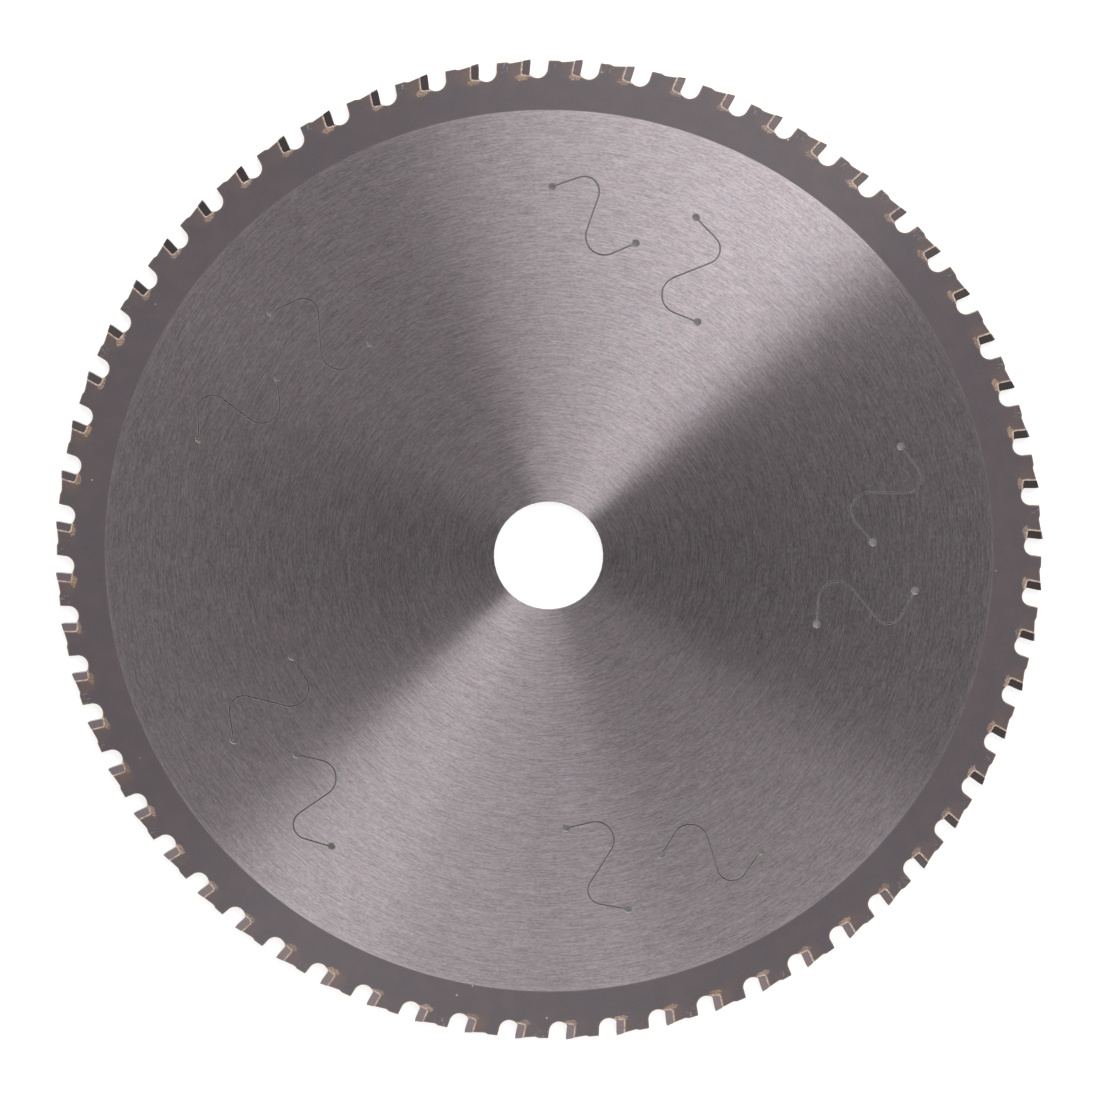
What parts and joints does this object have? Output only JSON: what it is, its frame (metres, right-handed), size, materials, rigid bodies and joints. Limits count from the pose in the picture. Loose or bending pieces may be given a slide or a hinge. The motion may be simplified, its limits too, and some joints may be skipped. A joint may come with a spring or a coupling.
{
  "type": "carbide-tipped circular saw blade",
  "caption": "Flat round saw blade: steel body with plain arbor bore, ground faces and S-shaped expansion slots, rim of gullets, chip-limiting shoulders and brazed carbide tips.",
  "frame": {"origin": "centre of the arbor bore, on the blade's middle plane", "axes": "+Z along the arbor, out of the face from which the blade cuts clockwise; +X through the cutting edge of the first chamfered tooth"},
  "size_m": [0.23, 0.2298, 0.002],
  "materials": {
    "steel_body": "concentrically ground, rim left dark",
    "carbide": "ground sintered carbide",
    "braze": "dull brazing alloy"
  },
  "bodies": {
    "root": {"plate": "steel_body", "tip_pair_1": "carbide", "tip_pair_2": "carbide", "tip_pair_3": "carbide", "tip_pair_4": "carbide", "tip_pair_5": "carbide", "tip_pair_6": "carbide", "tip_pair_7": "carbide", "tip_pair_8": "carbide", "tip_pair_9": "carbide", "tip_pair_10": "carbide", "tip_pair_11": "carbide", "tip_pair_12": "carbide", "tip_pair_13": "carbide", "tip_pair_14": "carbide", "tip_pair_15": "carbide", "tip_pair_16": "carbide", "tip_pair_17": "carbide", "tip_pair_18": "carbide", "tip_pair_19": "carbide", "tip_pair_20": "carbide", "tip_pair_21": "carbide", "tip_pair_22": "carbide", "tip_pair_23": "carbide", "tip_pair_24": "carbide", "tip_pair_25": "carbide", "tip_pair_26": "carbide", "tip_pair_27": "carbide", "tip_pair_28": "carbide", "tip_pair_29": "carbide", "tip_pair_30": "carbide", "braze_seams_1": "braze", "braze_seams_2": "braze", "braze_seams_3": "braze", "braze_seams_4": "braze", "braze_seams_5": "braze", "braze_seams_6": "braze", "braze_seams_7": "braze", "braze_seams_8": "braze", "braze_seams_9": "braze", "braze_seams_10": "braze", "braze_seams_11": "braze", "braze_seams_12": "braze", "braze_seams_13": "braze", "braze_seams_14": "braze", "braze_seams_15": "braze"}
  },
  "joints": []
}
